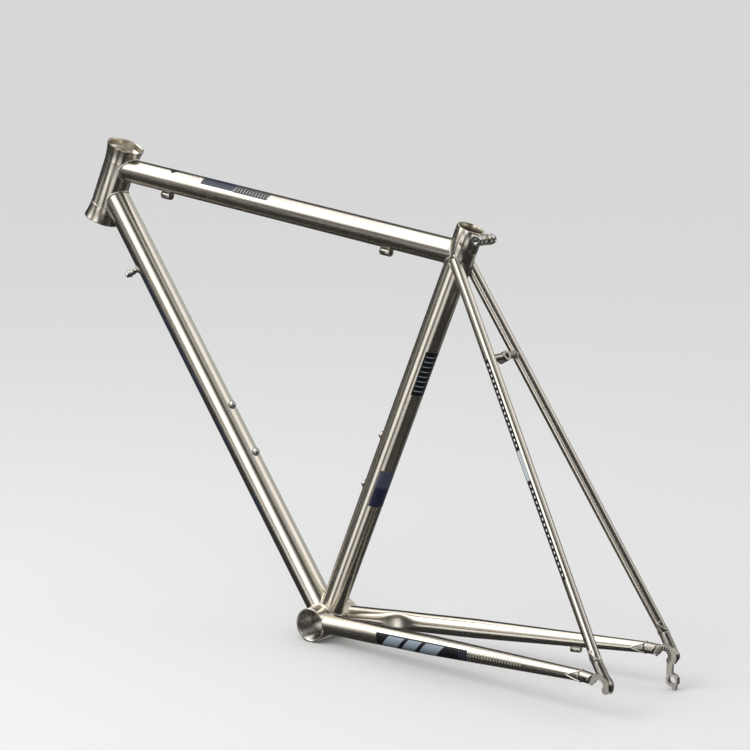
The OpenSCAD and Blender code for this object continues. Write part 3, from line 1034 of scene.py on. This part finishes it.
def stage_floor(half=40.0):
    """A pale floor at the object's lowest point, which reaches the backdrop. Metal doesn't mirror it."""
    low = cad_box[0].z
    corners = [(x * half, y * half, low) for x, y in ((-1, -1), (1, -1), (1, 1), (-1, 1))]
    mesh = bpy.data.meshes.new("floor")
    mesh.from_pydata(corners, [], [(0, 1, 2, 3)])
    mesh.materials.append(flat_colour("pale_floor", colour(FLOOR_TONE, FLOOR_TONE, FLOOR_TONE), 0.9))
    floor = bpy.data.objects.new("floor", mesh)
    bpy.context.scene.collection.objects.link(floor)
    floor.visible_glossy = False


def studio_direction(turn, height):
    """The direction turn degrees to the left of the camera, seen from the frame, and height degrees up."""
    a, e = math.radians(CAMERA_AZIMUTH - turn), math.radians(height)
    return Vector((math.sin(a) * math.cos(e), -math.cos(a) * math.cos(e), math.sin(e)))


def key_light():
    """One large soft lamp, which gives the shadow on the floor. Metal doesn't mirror it."""
    lamp = bpy.data.lights.new("key", "AREA")
    lamp.size = KEY_SIZE
    lamp.energy = KEY_POWER
    holder = bpy.data.objects.new("key", lamp)
    holder.location = studio_direction(*KEY_DIRECTION) * KEY_DISTANCE
    holder.rotation_mode = "QUATERNION"
    holder.rotation_quaternion = holder.location.to_track_quat("Z", "Y")
    holder.visible_glossy = False
    bpy.context.scene.collection.objects.link(holder)


def studio_world():
    """Even pale light, in which the metal mirrors soft boxes on both sides and a dim room between them."""
    world = bpy.data.worlds.new("studio")
    g = Graph(world)
    place = g.node("ShaderNodeTexCoord").outputs["Generated"]
    glow = DIM_ROOM
    far_boxes = [(turn + 180, *shape, gain * FAR_SIDE) for turn, *shape, gain in SOFT_BOXES]
    for turn, height, wide, soft, gain in [*SOFT_BOXES, *far_boxes]:
        dot = g.node("ShaderNodeVectorMath", {"operation": "DOT_PRODUCT"})
        g.plug(dot.inputs[0], place)
        g.plug(dot.inputs[1], studio_direction(turn, height))
        inner, outer = math.cos(math.radians(wide)), math.cos(math.radians(wide + soft))
        ramp = g.node(
            "ShaderNodeMapRange",
            {"interpolation_type": "SMOOTHSTEP"},
            Value=dot.outputs["Value"],
            From_Min=outer,
            From_Max=inner,
            To_Max=gain,
        )
        glow = g.math("ADD", glow, ramp.outputs[0])
    path = g.node("ShaderNodeLightPath")
    backdrop = g.math("MULTIPLY", path.outputs["Is Camera Ray"], EVEN_LIGHT * FLOOR_TONE)
    even = g.math("MULTIPLY", path.outputs["Is Diffuse Ray"], EVEN_LIGHT)
    strength = g.total(g.product(path.outputs["Is Glossy Ray"], glow), backdrop, even)
    background = g.tree.nodes["Background"]
    background.inputs["Color"].default_value = colour(1.0, 1.0, 1.0)
    g.plug(background.inputs["Strength"], strength)
    bpy.context.scene.world = world


def camera():
    """The camera that sees the object as the photograph does."""
    back = studio_direction(0, CAMERA_ELEVATION)
    lens = bpy.data.cameras.new("camera")
    lens.lens = CAMERA_LENS
    lens.sensor_width = 36
    lens.shift_x, lens.shift_y = CAMERA_SHIFT
    holder = bpy.data.objects.new("camera", lens)
    holder.location = CAMERA_PLACE
    holder.rotation_mode = "QUATERNION"
    roll = Quaternion((0, 0, 1), math.radians(CAMERA_ROLL))
    holder.rotation_quaternion = (-back).to_track_quat("-Z", "Y") @ roll
    bpy.context.scene.collection.objects.link(holder)
    bpy.context.scene.camera = holder


bpy.context.scene.view_settings.view_transform = "Standard"
stage_floor()
studio_world()
key_light()
camera()
